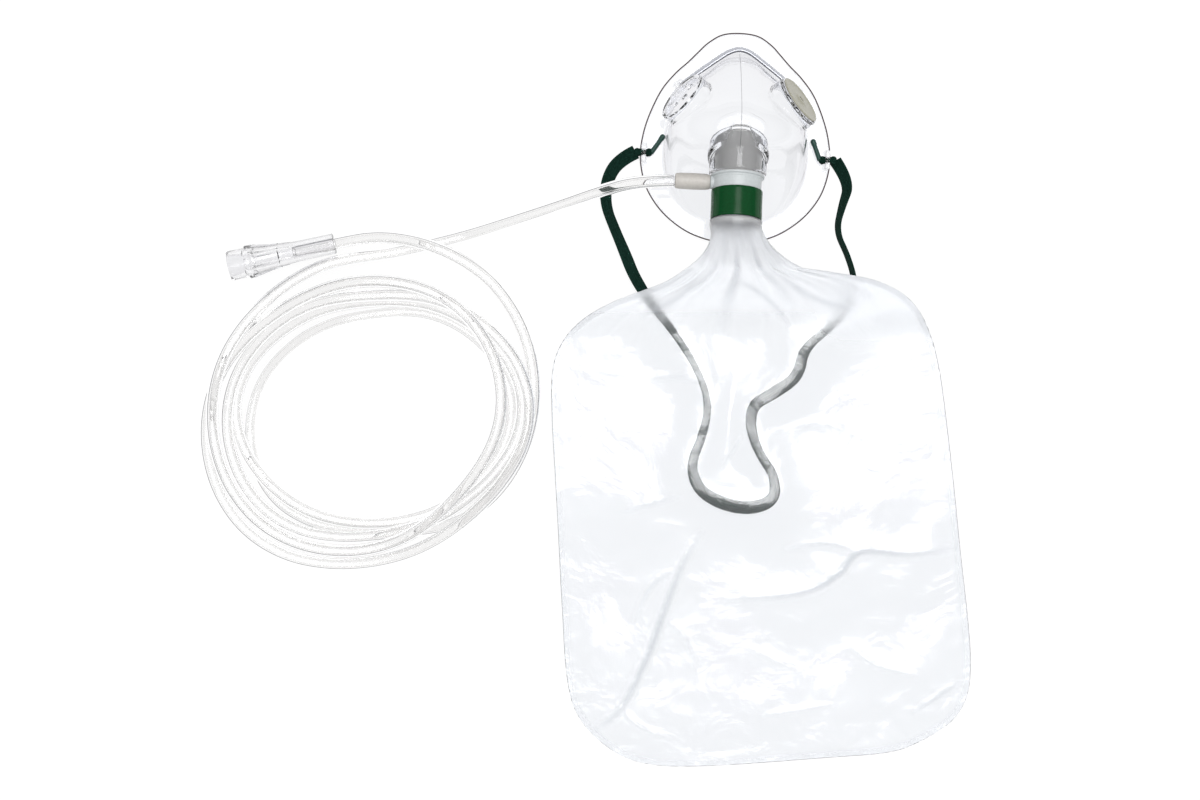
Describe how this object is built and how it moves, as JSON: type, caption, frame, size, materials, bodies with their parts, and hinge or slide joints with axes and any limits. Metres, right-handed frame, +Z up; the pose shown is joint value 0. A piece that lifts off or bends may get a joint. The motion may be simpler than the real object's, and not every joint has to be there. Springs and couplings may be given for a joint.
{
  "type": "non-rebreathing oxygen mask",
  "caption": "Clear oxygen face mask with one-way valves, reservoir bag, elastic head strap and a coil of supply tubing with a funnel end.",
  "frame": {"origin": "bottom centre of the mask and bag as they lie on a table, without the tubing and the strap", "axes": "+Z up from the table, +Y towards the nose of the mask, the bag lies towards -Y and the tubing towards -X"},
  "size_m": [0.3629, 0.3481, 0.0459],
  "materials": {
    "clear_pvc": "clear soft PVC, glossy",
    "aluminium": "soft rolled strip, satin",
    "grey_silicone": "moulded silicone, satin",
    "frosted_plastic": "translucent grey polypropylene",
    "beige_cuff": "soft moulded cuff, satin",
    "green_band": "dark green shrink band, glossy",
    "bag_film": "thin clear vinyl film, slightly frosted",
    "green_elastic": "ribbed elastic, matt",
    "green_tip": "hard dark tip",
    "clear_tube": "clear PVC tubing, glossy",
    "clear_connector": "clear soft PVC moulding, glossy"
  },
  "bodies": {
    "mask_and_bag": {"mask_shell": "clear_pvc", "nose_clip": "aluminium", "neck_band": "green_band", "bag_neck": "bag_film", "bag_back_film": "bag_film", "bag_front_film": "bag_film", "bag_seam": "bag_film", "supply_tube_lead": "clear_tube", "supply_tube_coil": "clear_tube", "supply_tube_tail": "clear_tube", "end_connector": "clear_connector"},
    "connector": {"connector_body": "frosted_plastic", "inlet_cuff": "beige_cuff", "valve_seat": "frosted_plastic", "valve_stud": "frosted_plastic"},
    "exhalation_flap": {"exhalation_flap": "grey_silicone"},
    "inhalation_disc": {"inhalation_disc": "grey_silicone"},
    "strap": {"head_strap": "green_elastic", "strap_tip_left": "green_tip", "strap_tip_right": "green_tip"}
  },
  "joints": [
    {"name": "connector_turn", "type": "hinge", "parent": "mask_and_bag", "child": "connector", "pos_m": [-0.01287, 0.10381, 0.03], "axis": [-0.0431, -0.9867, 0.1564], "range_deg": [-20, 20]},
    {"name": "exhalation_flap_lift", "type": "slide", "parent": "mask_and_bag", "child": "exhalation_flap", "axis": [0.774, 0.5221, 0.3584], "range_m": [0, 0.0012], "stiffness_N_per_m": 15},
    {"name": "inhalation_disc_lift", "type": "slide", "parent": "connector", "child": "inhalation_disc", "axis": [0.0431, 0.9867, -0.1564], "range_m": [0, 0.0012], "stiffness_N_per_m": 15},
    {"name": "strap_swing", "type": "hinge", "parent": "mask_and_bag", "child": "strap", "pos_m": [-0.01237, 0.1152, 0.0047], "axis": [0.999, -0.0436, 0], "range_deg": [0, 95]}
  ]
}
